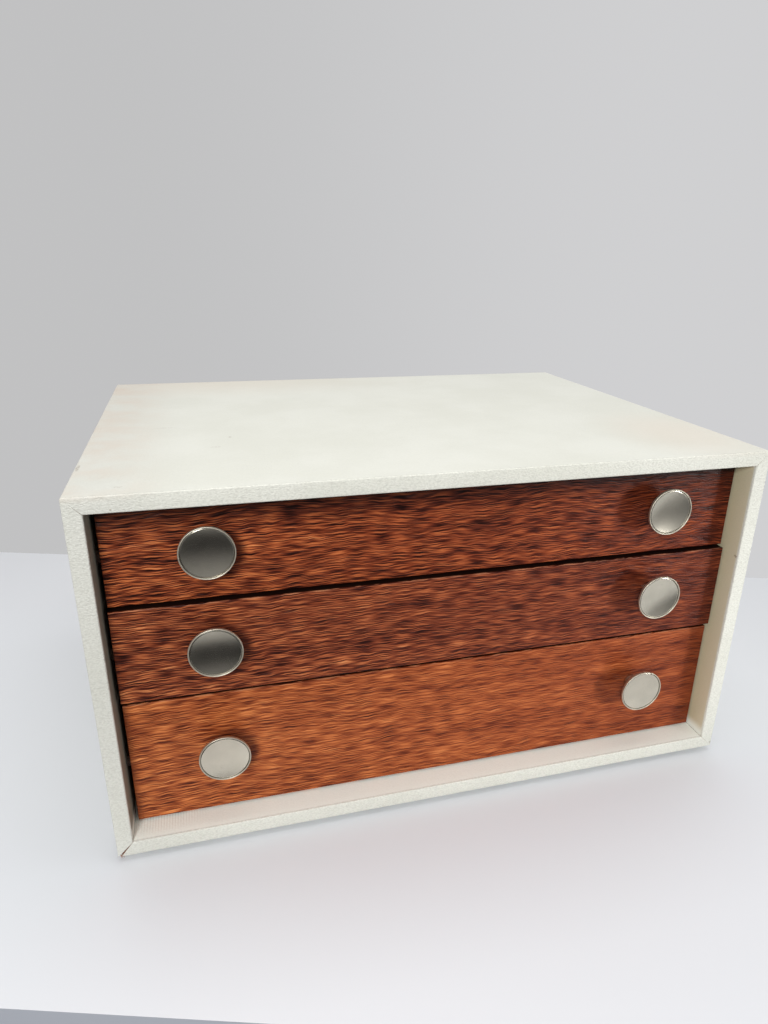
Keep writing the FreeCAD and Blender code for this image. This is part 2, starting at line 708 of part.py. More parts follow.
for row_name, row in DRAWERS.items():
    drawer_y = case_front + S.recess - row.proud
    drawer_z = case_base + row.base
    place_at = (drawer_shift, drawer_y, drawer_z)
    name = f"{row_name}_drawer"
    knob_z = row.front_height / 2 + row.knob_rise
    knob_xs = [sign * (half_width - S.knob_inset) - drawer_shift for sign in (-1, 1)]

    front = new_body(f"{name}_front", *place_at)
    board = extrude(front, "board", "XZ_Plane", 0.0, S.front_thickness,
                    loops=[rectangle(-half_front, 0.0, half_front, row.front_height)])
    round_edges(front, "eased_face", board, S.front_arris,
                lambda edge: max(abs(vertex.Point.y) for vertex in edge.Vertexes) < 1e-6)
    bottom_groove(front, S.front_thickness, S.front_thickness - S.bottom_groove_depth)
    extrude(front, "knob_screw_holes", "XZ_Plane", 0.0, S.front_thickness, cut=True,
            circles=[(x, knob_z, S.knob_screw_hole_diameter / 2) for x in knob_xs])
    if row_name == "bottom":
        divider_housing(front, S.front_thickness, S.front_thickness - S.divider_housing_depth)
    end_sockets(front, row, box_front, socket_bottom)

    for side, sign in (("left", -1), ("right", 1)):
        drawer_side(f"{name}_{side}_side", row, place_at, sign)

    rear = new_body(f"{name}_back", *place_at)
    extrude(rear, "board", "XZ_Plane", box_rear, drawer_depth,
            loops=[rectangle(-half_front, row.side_bottom, half_front, row.side_bottom + row.side_height)])
    bottom_groove(rear, box_rear, box_rear + S.bottom_groove_depth)
    if row_name == "bottom":
        divider_housing(rear, box_rear, box_rear + S.divider_housing_depth)
    end_sockets(rear, row, box_rear, drawer_depth)

    reach = S.bottom_groove_depth - S.bottom_clearance
    floor = new_body(f"{name}_bottom", *place_at)
    extrude(floor, "sheet", "XY_Plane", bottom_low, bottom_low + S.bottom_thickness,
            loops=[rectangle(-(inner_front + reach), box_front - reach, inner_front + reach, box_rear + reach)])

    lining = new_body(f"{name}_lining", *place_at)
    extrude(lining, "cloth", "XY_Plane", bottom_low + S.bottom_thickness, lining_top,
            loops=[rectangle(-(inner_front - S.lining_clearance), box_front + S.lining_clearance,
                             inner_front - S.lining_clearance, box_rear - S.lining_clearance)])

    for side, x in zip(("left", "right"), knob_xs):
        knob(f"{name}_{side}", drawer_shift + x, drawer_y, drawer_z + knob_z)
    screw_foot = S.front_thickness
    screw_tip = S.front_thickness + S.knob_screw_reach
    fastener_group(
        f"{name}_knob_screws",
        [(0.0, -S.knob_screw_head_thickness),
         (S.knob_screw_head_diameter / 2, -S.knob_screw_head_thickness),
         (S.knob_screw_head_diameter / 2, 0.0), (S.knob_screw_diameter / 2, 0.0),
         (S.knob_screw_diameter / 2, screw_tip), (0.0, screw_tip)],
        [(x, screw_foot, knob_z) for x in knob_xs], [(0, -1, 0)] * 2, *place_at)

# Racks of the shallow drawers: bars with scalloped rests for the cutlery

for row_name in ("top", "middle"):
    row = DRAWERS[row_name]
    drawer_y = case_front + S.recess - row.proud
    drawer_z = case_base + row.base
    rack_places = (("front", box_front + S.front_rack_place),
                   ("rear", box_rear - S.rear_rack_place - S.rack_thickness))
    for end_name, y in rack_places:
        rack = new_body(f"{row_name}_drawer_{end_name}_rack", drawer_shift, drawer_y + y,
                        drawer_z + lining_top)
        rack_half = inner_front - S.rack_clearance
        extrude(rack, "bar", "XZ_Plane", 0.0, S.rack_thickness,
                loops=[rectangle(-rack_half, 0.0, rack_half, S.rack_height)])
        span = S.notch_pitch * (S.rack_notches - 1)
        notch = extrude(rack, "notch", "XZ_Plane", 0.0, S.rack_thickness, cut=True,
                        circles=[(-(span / 2), S.rack_height - S.notch_depth + S.notch_radius, S.notch_radius)])
        repeat(rack, "notches", [notch], "X_Axis", span, S.rack_notches)

# Divider of the deep drawer, slid into housings in its front and back

row = DRAWERS["bottom"]
divider = new_body("bottom_drawer_divider", drawer_shift, case_front + S.recess, case_base + row.base)
divider_front = box_front - S.divider_housing_depth + S.divider_clearance
divider_rear = box_rear + S.divider_housing_depth - S.divider_clearance
extrude(divider, "board", "XY_Plane", lining_top, divider_top,
        loops=[rectangle(-(S.divider_thickness / 2), divider_front, S.divider_thickness / 2, divider_rear)])

# Checks and files

doc.recompute()
for item in doc.Objects:
    if "Invalid" in item.State or "Error" in item.State:
        raise RuntimeError(f"{item.Label} didn't compute: {item.State}")
    if item.isDerivedFrom("PartDesign::Pocket") and item.Shape.Volume >= item.BaseFeature.Shape.Volume - 1e-3:
        raise RuntimeError(f"{item.Label} of {item.getParentGeoFeatureGroup().Label} cuts nothing")
for node in nodes:
    shape = node.Shape
    if shape.isNull() or not shape.isValid():
        raise RuntimeError(f"{node.Label} has no valid shape")
    shape.exportStep(os.path.join("parts", f"{node.Label}.step"))
print(f"{len(nodes)} parts written")
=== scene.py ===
# %% [markdown]
# # A cloth-covered cutlery chest with three wood-fronted drawers
#
# The chest comes from the CAD frame. This script dresses it: it wraps the case in pebbled cloth,
# lays veneer on the drawer fronts, turns the dished knobs, lines the drawers, and sets the light
# and the camera. Lengths are in metres, X runs to the right, the drawers open towards -Y, Z is up.

# %% Start
import math

import bmesh
import bpy
import numpy as np
from mathutils import Matrix, Vector


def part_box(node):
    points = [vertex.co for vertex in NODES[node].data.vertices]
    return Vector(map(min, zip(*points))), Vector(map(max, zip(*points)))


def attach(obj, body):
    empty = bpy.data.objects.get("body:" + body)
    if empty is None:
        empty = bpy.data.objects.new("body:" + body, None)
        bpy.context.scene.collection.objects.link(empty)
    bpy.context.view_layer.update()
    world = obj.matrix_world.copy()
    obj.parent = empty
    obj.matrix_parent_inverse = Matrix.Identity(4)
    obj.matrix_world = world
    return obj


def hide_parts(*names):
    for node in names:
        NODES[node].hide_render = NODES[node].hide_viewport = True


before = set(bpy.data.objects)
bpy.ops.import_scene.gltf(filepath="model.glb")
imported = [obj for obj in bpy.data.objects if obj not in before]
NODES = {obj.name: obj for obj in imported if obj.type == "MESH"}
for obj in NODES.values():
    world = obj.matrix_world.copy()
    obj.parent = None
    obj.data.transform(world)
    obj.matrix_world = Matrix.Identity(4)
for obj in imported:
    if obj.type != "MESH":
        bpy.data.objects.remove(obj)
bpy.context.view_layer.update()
MM = 0.001

# %% [markdown]
# ## What is measured
#
# The new pieces take their sizes and places from the CAD nodes' own boxes, so the dressing fits the
# frame. The case's size and the thickness of its boards are kept in millimetres, as the materials
# use them.

# %% Boxes of the frame
def node_box(node):
    """Lowest and highest corner of a CAD node, as two arrays of three numbers."""
    low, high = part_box(node)
    return np.array(low), np.array(high)


CASE_LOW = np.array([node_box("case_left_panel")[0][0], node_box("case_top_panel")[0][1],
                     node_box("case_bottom_panel")[0][2]])
CASE_HIGH = np.array([node_box("case_right_panel")[1][0], node_box("case_top_panel")[1][1],
                      node_box("case_top_panel")[1][2]])
WIDTH, DEPTH, HEIGHT = (CASE_HIGH - CASE_LOW) / MM
WALL = (node_box("case_left_panel")[1][0] - node_box("case_left_panel")[0][0]) / MM
ROWS = ("top", "middle", "bottom")
SIDES = ("left", "right")
print("case from", CASE_LOW, "to", CASE_HIGH, "wall", WALL, "mm")

# %% [markdown]
# ## Camera
#
# The camera was fitted to the chest's corners, edges and knobs: it stands to the left of the
# middle, looks to the right and down, and is rolled by one degree. Its forward direction is
# (sin yaw cos pitch, cos yaw cos pitch, -sin pitch).

# %% Camera
def aim(yaw, pitch, roll):
    """A camera's turn from its yaw to the right, pitch down and roll, all in radians."""
    forward = Vector((math.sin(yaw) * math.cos(pitch), math.cos(yaw) * math.cos(pitch), -math.sin(pitch)))
    level = Vector((math.cos(yaw), -math.sin(yaw), 0.0))
    above = level.cross(forward)
    right = level * math.cos(roll) + above * math.sin(roll)
    up = above * math.cos(roll) - level * math.sin(roll)
    return Matrix((right, up, -forward)).transposed().to_4x4()


PICTURE = (768, 1024)
FOCAL_PIXELS = 712.18
PICTURE_CENTRE = (402.07, 527.31)
CAMERA_PLACE = CASE_LOW + np.array([0.0741, -0.3784, 0.3609])
camera_data = bpy.data.cameras.new("camera")
camera_data.sensor_fit = "VERTICAL"
camera_data.sensor_height = 36.0
camera_data.lens = FOCAL_PIXELS * camera_data.sensor_height / PICTURE[1]
camera_data.shift_x = -(PICTURE_CENTRE[0] - PICTURE[0] / 2) / PICTURE[1]
camera_data.shift_y = (PICTURE_CENTRE[1] - PICTURE[1] / 2) / PICTURE[1]
camera_data.clip_start = 0.01
camera = bpy.data.objects.new("camera", camera_data)
camera.matrix_world = Matrix.Translation(CAMERA_PLACE) @ aim(yaw=0.2801, pitch=0.3702, roll=0.018)
bpy.context.scene.collection.objects.link(camera)
bpy.context.scene.camera = camera
print("camera at", tuple(round(value, 4) for value in camera.location), "lens", round(camera_data.lens, 2))

# %% [markdown]
# ## Materials, written as short formulas
#
# A `Recipe` wraps one material's node tree. Each call adds one node and returns its output, so a
# material reads like arithmetic. Places are in millimetres of the piece's own frame.

# %% Recipe
class Recipe:
    """One procedural material. A socket given as an argument is linked, a number is set."""

    SOCKETS = {"colour": "Base Color", "rough": "Roughness", "metal": "Metallic", "normal": "Normal",
               "specular": "Specular IOR Level", "sheen": "Sheen Weight"}

    def __init__(self, name):
        self.material = bpy.data.materials.new(name)
        self.material.use_nodes = True
        self.tree = self.material.node_tree
        place = self.tree.nodes.new("ShaderNodeTexCoord").outputs["Object"]
        self.place = self.vector("SCALE", place, scale=1000.0)
        self.x, self.y, self.z = self.split(self.place)

    def put(self, socket, value):
        """Link a socket to a socket, or set its number."""
        if isinstance(value, bpy.types.NodeSocket):
            self.tree.links.new(value, socket)
        elif isinstance(value, tuple) and len(value) == 3 and socket.type == "RGBA":
            socket.default_value = (*value, 1.0)
        else:
            socket.default_value = value

    def math(self, operation, first, second=0.0, third=0.0, clamp=False):
        """first (operation) second, with numbers or sockets."""
        node = self.tree.nodes.new("ShaderNodeMath")
        node.operation = operation
        node.use_clamp = clamp
        for socket, value in zip(node.inputs, (first, second, third)):
            self.put(socket, value)
        return node.outputs[0]

    def product(self, first, *others):
        """All the factors multiplied."""
        for other in others:
            first = self.math("MULTIPLY", first, other)
        return first

    def vector(self, operation, first, second=(0.0, 0.0, 0.0), scale=None):
        """A vector sum, product or other operation."""
        node = self.tree.nodes.new("ShaderNodeVectorMath")
        node.operation = operation
        self.put(node.inputs[0], first)
        self.put(node.inputs[1], second)
        if scale is not None:
            self.put(node.inputs["Scale"], scale)
        return node.outputs[0]

    def split(self, value):
        """The X, Y and Z of a vector."""
        node = self.tree.nodes.new("ShaderNodeSeparateXYZ")
        self.put(node.inputs[0], value)
        return tuple(node.outputs)

    def join(self, x, y, z):
        """A vector from three numbers."""
        node = self.tree.nodes.new("ShaderNodeCombineXYZ")
        for socket, value in zip(node.inputs, (x, y, z)):
            self.put(socket, value)
        return node.outputs[0]

    def noise(self, place, scale, detail=2.0, roughness=0.5):
        """Soft noise from 0 to 1 with `scale` lumps per millimetre."""
        node = self.tree.nodes.new("ShaderNodeTexNoise")
        for name, value in (("Vector", place), ("Scale", scale), ("Detail", detail), ("Roughness", roughness)):
            self.put(node.inputs[name], value)
        return node.outputs["Fac"]

    def cells(self, place, scale, feature="F1"):
        """Distance to the nearest cell centre, with `scale` cells per millimetre."""
        node = self.tree.nodes.new("ShaderNodeTexVoronoi")
        node.feature = feature
        self.put(node.inputs["Vector"], place)
        self.put(node.inputs["Scale"], scale)
        return node.outputs["Distance"]

    def between(self, value, low, high, smooth=True):
        """0 at `low`, 1 at `high`, and a ramp between; `low` may be the larger one."""
        node = self.tree.nodes.new("ShaderNodeMapRange")
        node.interpolation_type = "SMOOTHSTEP" if smooth else "LINEAR"
        for name, number in (("Value", value), ("From Min", low), ("From Max", high)):
            self.put(node.inputs[name], number)
        return node.outputs[0]

    def blend(self, factor, first, second, kind="MIX"):
        """Two colours mixed by a factor."""
        node = self.tree.nodes.new("ShaderNodeMix")
        node.data_type = "RGBA"
        node.blend_type = kind
        for socket, value in ((node.inputs[0], factor), (node.inputs[6], first), (node.inputs[7], second)):
            self.put(socket, value)
        return node.outputs[2]

    def darken(self, factor, colour, share):
        """The colour multiplied by `share`, red, green and blue, as far as the factor says."""
        return self.blend(factor, colour, self.blend(1.0, colour, share, "MULTIPLY"))

    def ramp(self, value, stops):
        """A colour from a list of (place, colour) stops."""
        node = self.tree.nodes.new("ShaderNodeValToRGB")
        band = node.color_ramp
        while len(band.elements) < len(stops):
            band.elements.new(0.5)
        for element, (place, colour) in zip(band.elements, stops):
            element.position = place
            element.color = (*colour, 1.0)
        self.put(node.inputs[0], value)
        return node.outputs[0]

    def spot(self, centre, radii, soft=0.4):
        """1 inside an ellipsoid about `centre`, fading to 0 over its outer part."""
        scaled = self.vector("DIVIDE", self.vector("SUBTRACT", self.place, centre), radii)
        node = self.tree.nodes.new("ShaderNodeVectorMath")
        node.operation = "LENGTH"
        self.put(node.inputs[0], scaled)
        return self.between(node.outputs["Value"], 1.0, 1.0 - soft)

    def bump(self, height, distance, strength):
        """A bump from a height of 0 to 1 that stands `distance` metres high."""
        node = self.tree.nodes.new("ShaderNodeBump")
        for name, value in (("Height", height), ("Distance", distance), ("Strength", strength)):
            self.put(node.inputs[name], value)
        return node.outputs[0]

    def finish(self, **inputs):
        """Put the values on the shader and return the material."""
        shader = self.tree.nodes["Principled BSDF"]
        for key, value in inputs.items():
            self.put(shader.inputs[self.SOCKETS[key]], value)
        return self.material


def srgb(red, green, blue):
    """A colour picked on a 0 to 255 screen scale, as linear light."""
    return tuple((value / 255 / 12.92) if value <= 10 else ((value / 255 + 0.055) / 1.055) ** 2.4
                 for value in (red, green, blue))


# %% [markdown]
# ## Case cloth: its grain
#
# The case is covered in a cream cloth with a pebbled, leather-like coating. The grain is a field of
# rounded cells about a millimetre across, each with a soft dome, under a finer noise:
# height = 1 - distance from the cell's centre + 1.1 * fine.

# %% Cloth grain
CELL_STRETCH = (0.75, 0.9, 1.2)
FINE_STRETCH = (0.8, 1.0, 1.6)


def cloth_grain(cloth):
    """The pebbles' height, and the fine noise in it."""
    wander = cloth.noise(cloth.place, 0.15, 2.0)
    moved = cloth.vector("ADD", cloth.place, cloth.join(wander, wander, wander))
    pebbles = cloth.cells(cloth.vector("MULTIPLY", moved, CELL_STRETCH), 1.05, "SMOOTH_F1")
    fine = cloth.noise(cloth.vector("MULTIPLY", cloth.place, FINE_STRETCH), 0.9, 1.0, 0.5)
    dome = cloth.math("SUBTRACT", 1.0, pebbles)
    return cloth.math("MULTIPLY_ADD", fine, 1.1, dome), fine


# %% [markdown]
# ## Case cloth: age, and painted light and shade
#
# Age has yellowed the top at the left, at the rear left and in the right front corner, and a painted
# shade greys the case's left part. Inside the front edges the right side is painted khaki and darker
# deeper in, and the left side dark, both as painted shade; the sill is painted paler than the cloth,
# as painted light, with the weave showing at its left end. `case` is the place from the case's lower
# left front corner.

# %% Age, painted shade and inner sides
def cloth_age_and_left_shade(cloth, colour, case):
    """The colour with the yellow patches on the top, and a painted shade that greys the left side."""
    x, y, z = case
    patch = cloth.noise(cloth.place, 0.03, 3.0, 0.6)
    left = cloth.product(cloth.between(x, 60.0, 2.0), cloth.between(patch, 0.25, 0.75), 0.75)
    rear = cloth.product(cloth.between(y, 240.0, 335.0), cloth.between(x, 330.0, 60.0), 0.35)
    corner = (CASE_HIGH[0] / MM - 30.0, CASE_LOW[1] / MM + 60.0, CASE_HIGH[2] / MM)
    front = cloth.product(cloth.spot(corner, (70.0, 90.0, 60.0), 0.9), 0.35)
    age = cloth.math("ADD", left, cloth.math("ADD", rear, front), clamp=True)
    on_top = cloth.between(z, HEIGHT - 4.0, HEIGHT - 1.0)
    colour = cloth.blend(cloth.product(age, on_top), colour, srgb(228, 210, 190))
    # Painted shade: the case's left part is greyed.
    return cloth.blend(cloth.product(cloth.between(x, 75.0, 5.0), 0.3), colour, srgb(204, 204, 198))


def cloth_inside(cloth, colour, case):
    """The colour with the recess painted: shade on its right and left sides, and light on its sill."""
    x, y, z = case
    inner_right = WIDTH - WALL
    past_left = cloth.between(x, WALL - 1.0, WALL - 0.2)
    before_right = cloth.between(x, inner_right + 1.0, inner_right + 0.2)
    beside = cloth.product(cloth.between(z, WALL + 1.0, WALL + 3.0), cloth.between(y, 1.0, 3.0),
                           cloth.between(z, HEIGHT - WALL + 1.0, HEIGHT - WALL - 2.0))
    right = cloth.product(beside, before_right, cloth.between(x, inner_right - 5.0, inner_right - 0.5))
    # Painted shade: the right side khaki, darker deeper into the recess.
    right_side_shade_colour = cloth.blend(cloth.between(y, 17.0, 3.0), srgb(210, 200, 166), srgb(216, 206, 176))
    colour = cloth.blend(right, colour, right_side_shade_colour)
    # Painted shade: the left side dark.
    left = cloth.product(beside, past_left, cloth.between(x, WALL + 5.0, WALL + 1.0), 0.8)
    colour = cloth.blend(left, colour, srgb(112, 106, 88))
    # Painted light: the sill paler than the cloth.
    low_down = cloth.product(cloth.between(z, WALL - 1.0, WALL - 0.2),
                             cloth.between(z, WALL + 10.0, WALL + 2.0))
    sill = cloth.product(past_left, before_right, cloth.between(y, 0.8, 2.5), low_down, 0.9)
    colour = cloth.blend(sill, colour, srgb(250, 253, 243))
    weave = cloth.between(cloth.math("SINE", cloth.product(cloth.x, 3.6)), -0.2, 0.9)
    worn = cloth.spot((-193.0, -152.0, CASE_LOW[2] / MM + WALL), (34.0, 14.0, 4.0), 0.7)
    return cloth.blend(cloth.product(worn, weave, 0.16), colour, srgb(168, 146, 112))


# %% [markdown]
# ## Case cloth: the whole
#
# The base is cream and hardly varies. Age, the recess's painted light and shade and the scuffs come
# over it, and the hollows of the grain carry a little painted shade. The grain is deepest on the narrow front
# edges.

# %% Cloth material
SCUFFS = (  # centre, half sizes along X, Y and Z in millimetres, strength
    ((-193.0, -154.0, 244.0), (3.5, 1.2, 2.0), 0.55),
    ((-218.0, -112.0, 244.0), (1.4, 9.0, 3.0), 0.5),
    ((-139.0, -80.0, 244.0), (4.5, 1.0, 2.0), 0.45),
    ((-128.5, -55.0, 244.0), (1.5, 1.5, 2.0), 0.5),
    ((-172.0, -19.0, 244.0), (10.0, 0.8, 2.0), 0.3),
    ((210.2, -165.0, 167.0), (1.6, 2.2, 1.3), 0.8),
    ((-196.0, -167.5, 236.0), (0.8, 2.0, 0.8), 0.5),
    ((219.0, -167.0, 8.0), (1.6, 2.0, 2.0), 0.7))


def cloth_material(name):
    """Cream pebbled cloth with yellowing, painted light and shade in the recess and in the grain's hollows, and
    a few scuffs.
    """
    cloth = Recipe(name)
    case = cloth.split(cloth.vector("SUBTRACT", cloth.place, tuple(float(value) for value in CASE_LOW / MM)))
    relief, fine = cloth_grain(cloth)
    tone = cloth.between(cloth.noise(cloth.place, 0.018, 3.0, 0.55), 0.3, 0.7)
    colour = cloth.blend(tone, srgb(228, 228, 216), srgb(233, 233, 222))
    colour = cloth_inside(cloth, cloth_age_and_left_shade(cloth, colour, case), case)
    for centre, half_sizes, amount in SCUFFS:
        mark = cloth.product(cloth.spot(centre, half_sizes, 0.6), cloth.between(fine, 0.35, 0.6), amount)
        colour = cloth.blend(mark, colour, srgb(128, 104, 80))
    on_front = cloth.between(case[1], 3.0, 0.6)
    # Painted shade: the grain's hollows greyed, most on the front edges.
    hollow_shade_mask = cloth.between(relief, 1.45, 0.75, smooth=False)
    grey = cloth.product(hollow_shade_mask, cloth.math("MULTIPLY_ADD", on_front, 0.22, 0.05))
    colour = cloth.blend(grey, colour, srgb(152, 150, 138))
    strength = cloth.math("MULTIPLY_ADD", on_front, 0.6, 0.35)
    return cloth.finish(colour=colour, rough=0.45, specular=0.35, normal=cloth.bump(relief, 0.0003, strength))


CLOTH = cloth_material("pebbled_cloth")
print("cloth material with", len(CLOTH.node_tree.nodes), "nodes")

# %% [markdown]
# ## Veneer: its figure
#
# The fronts carry a red-brown tropical veneer whose grain runs along X. Level lines are bent by a
# broad warp and a fine ripple: bent = z + swirl * warp + 2.2 mm * ripple. Broad bands, a mottle,
# long strands and fine fibres are noises stretched along those lines, and the figure is their
# weighted sum about 0.5. The fibres fade towards the right, as they do on the chest.

# %% Veneer figure
RIPPLE = 2.2
CONTRAST_LOSS = -0.30


def stretched(wood, lines, per_x, per_z, detail, roughness, layer=0.0):
    """Noise with so many lumps per millimetre along the grain and across it."""
    along, level = lines
    place = wood.join(wood.product(along, per_x), layer, wood.product(level, per_z))
    return wood.noise(place, 1.0, detail, roughness)


def veneer_figure(wood, level_lines, across, swirl, contrast):
    """The figure from 0, dark, to 1, light, and with it the fibres and the pores."""
    along, level = level_lines
    warp = stretched(wood, level_lines, 0.009, 0.016, 2.0, 0.5)
    ripple = stretched(wood, level_lines, 0.11, 0.14, 1.0, 0.5, 5.0)
    lines = (along, wood.math("MULTIPLY_ADD", warp, swirl, wood.math("MULTIPLY_ADD", ripple, RIPPLE, level)))
    bands = stretched(wood, lines, 0.007, 0.13, 3.0, 0.6)
    mottle = stretched(wood, lines, 0.04, 0.10, 3.0, 0.6, 3.0)
    strand = wood.between(stretched(wood, lines, 0.022, 1.25, 2.0, 0.6, 7.0), 0.36, 0.64, smooth=False)
    fibre = wood.between(stretched(wood, lines, 0.075, 1.55, 0.5, 0.5, 9.0), 0.34, 0.66, smooth=False)
    pore = wood.between(stretched(wood, lines, 0.05, 1.40, 1.0, 0.5, 15.0), 0.37, 0.31)
    figure = 0.5
    for layer, weight in ((bands, 0.56), (mottle, 0.24), (strand, 0.20),
                          (fibre, wood.math("MULTIPLY_ADD", across, CONTRAST_LOSS, contrast))):
        figure = wood.math("MULTIPLY_ADD", wood.math("SUBTRACT", layer, 0.5), weight, figure)
    return figure, fibre, pore


# %% [markdown]
# ## Veneer: streaks, wear, and painted light and shade
#
# The top front has rising dark streaks in its middle and a painted shade band along its upper edge,
# under the case's top. All fronts carry painted shade at their ends, under the case's sides, painted
# shadows beside the knobs and painted shade on their top face; their upper arris is rubbed pale and
# painted as a highlight. `low` and `high` are the front's corners in millimetres.

# %% Veneer wear and painted light and shade
# Painted shadows of the knobs on the veneer.
KNOB_SHADOW_PATCHES = {  # offset from the knob's centre, radius, strength
    "left": ((4.0, -6.0), 20.5, 0.66),
    "right": ((-12.0, 1.0), 20.0, 0.24)}


def top_front_streaks_and_shade(wood, colour, level_lines, low, high):
    """The top front's own dark streaks, and a painted shade band along its upper edge under the case's top."""
    along, level = level_lines
    rising = (along, wood.math("MULTIPLY_ADD", along, -0.22, level))
    streaks = stretched(wood, rising, 0.010, 0.20, 2.0, 0.6, 2.0)
    middle = wood.spot((30.0, low[1], high[2] - 14.0), (170.0, 50.0, 22.0), 0.6)
    flame = wood.product(wood.between(streaks, 0.47, 0.40), middle, 0.5)
    # Painted shade: a dark band under the case's top.
    band = wood.product(wood.between(wood.z, high[2] - 24.0, high[2] - 4.0), 0.93)
    return wood.darken(wood.math("MAXIMUM", flame, band), colour, (0.14, 0.10, 0.09))


def front_edge_shade_and_wear(wood, colour, fibre, low, high):
    """Painted shade at the ends, an upper arris rubbed pale and painted as a highlight, and painted shade on
    the top face behind it.
    """
    # Painted shade at both ends, where the case's sides shade them.
    ends = wood.math("MAXIMUM", wood.between(wood.x, high[0] - 30.0, high[0] - 1.0),
                     wood.between(wood.x, low[0] + 8.0, low[0]))
    colour = wood.darken(wood.product(ends, 0.4), colour, (0.42, 0.30, 0.30))
    # The upper arris: rubbed pale, and a painted highlight.
    arris_wear_and_highlight = wood.product(wood.between(wood.z, high[2] - 0.8, high[2] - 0.4), wood.between(fibre, 0.3, 0.8))
    colour = wood.blend(wood.product(arris_wear_and_highlight, 0.25), colour, srgb(190, 150, 120))
    # Painted shade on the top face, in the gap above the front.
    gap_top_shade = wood.product(wood.between(wood.z, high[2] - 0.25, high[2] - 0.1),
                            wood.between(wood.y, low[1] + 0.7, low[1] + 1.3))
    return wood.blend(gap_top_shade, colour, srgb(30, 16, 12))


def painted_knob_shadows(wood, colour, row, low):
    """Painted shadows beside one front's two knobs."""
    for side in SIDES:
        (reach, rise), radius, amount = KNOB_SHADOW_PATCHES[side]
        knob_low, knob_high = (corner / MM for corner in node_box(f"{row}_drawer_{side}_knob_dish"))
        knob = (knob_low + knob_high) / 2
        # Painted shadow beside the knob.
        patch = wood.spot((knob[0] + reach, low[1], knob[2] + rise), (radius, 40.0, radius), 0.3)
        colour = wood.darken(wood.product(patch, amount), colour, (0.34, 0.24, 0.24))
    return colour


# %% [markdown]
# ## Veneer: three fronts
#
# Each front has its own cut, five browns from dark to light, brightness, swirl and contrast. All
# fade from a lighter, yellower left to a darker, redder right.

# %% Veneer materials
BROWN_STOPS = (0.08, 0.30, 0.50, 0.72, 0.97)
LEFT_TINT, RIGHT_TINT = (1.20, 1.15, 1.03), (0.82, 0.64, 0.60)


def veneer_material(row, cut, lift, swirl, contrast, browns):
    """Veneer for one front."""
    wood = Recipe(f"{row}_veneer")
    low, high = (corner / MM for corner in node_box(f"{row}_drawer_front"))
    along, _, level = wood.split(wood.vector("ADD", wood.place, (cut, 0.0, cut * 0.37)))
    across = wood.between(wood.x, low[0], high[0], smooth=False)
    figure, fibre, pore = veneer_figure(wood, (along, level), across, swirl, contrast)
    shades = [srgb(*brown) for brown in browns]
    colour = wood.ramp(wood.math("ADD", figure, lift), list(zip(BROWN_STOPS, shades)))
    colour = wood.blend(wood.product(pore, 0.6), colour, shades[0])
    if row == "top":
        colour = top_front_streaks_and_shade(wood, colour, (along, level), low, high)
    colour = wood.blend(1.0, colour, wood.blend(across, LEFT_TINT, RIGHT_TINT), "MULTIPLY")
    colour = front_edge_shade_and_wear(wood, colour, fibre, low, high)
    colour = painted_knob_shadows(wood, colour, row, low)
    height = wood.math("SUBTRACT", wood.product(fibre, 0.8), pore)
    rough = wood.math("MULTIPLY_ADD", fibre, 0.18, 0.30)
    return wood.finish(colour=colour, rough=rough, normal=wood.bump(height, 0.00016, 0.8), specular=0.16)


VENEERS = {
    "top": veneer_material(
        "top", cut=13.0, lift=-0.11, swirl=16.0, contrast=0.66,
        browns=((30, 10, 7), (86, 35, 20), (138, 68, 38), (184, 104, 60), (224, 156, 100))),
    "middle": veneer_material(
        "middle", cut=411.0, lift=-0.10, swirl=10.0, contrast=0.60,
        browns=((34, 12, 9), (84, 36, 23), (132, 67, 41), (182, 108, 67), (230, 170, 116))),
    "bottom": veneer_material(
        "bottom", cut=887.0, lift=-0.05, swirl=8.0, contrast=0.52,
        browns=((52, 19, 10), (114, 52, 28), (160, 86, 47), (198, 120, 70), (230, 162, 104))),
}
print("veneers:", sorted(VENEERS))

# %% [markdown]
# ## Plain materials
#
# The inside is made of plain brown woods, the bottoms and the back of thin board, the linings of
# green baize. Pins and screws are steel, the feet black rubber. Bare board shows in the mitres.

# %% Inner woods, baize, steel and rubber
def plain_wood(name, light, dark, axis):
    """A plain wood whose grain runs along one axis, 0 for X and 1 for Y."""
    wood = Recipe(name)
    stretch = [0.35, 0.35, 0.35]
    stretch[axis] = 0.012
    grain = wood.noise(wood.vector("MULTIPLY", wood.place, tuple(stretch)), 1.0, 4.0, 0.6)
    colour = wood.ramp(grain, [(0.3, dark), (0.7, light)])
    return wood.finish(colour=colour, rough=0.55, normal=wood.bump(grain, 0.00005, 0.3))


SIDE_WOOD = plain_wood("side_wood", srgb(140, 86, 56), srgb(104, 60, 40), axis=1)
CROSS_WOOD = plain_wood("cross_wood", srgb(142, 88, 58), srgb(106, 62, 40), axis=0)
RUNNER_WOOD = plain_wood("runner_wood", srgb(96, 66, 46), srgb(70, 46, 32), axis=1)
BOARD = plain_wood("thin_board", srgb(196, 152, 104), srgb(170, 124, 82), axis=0)

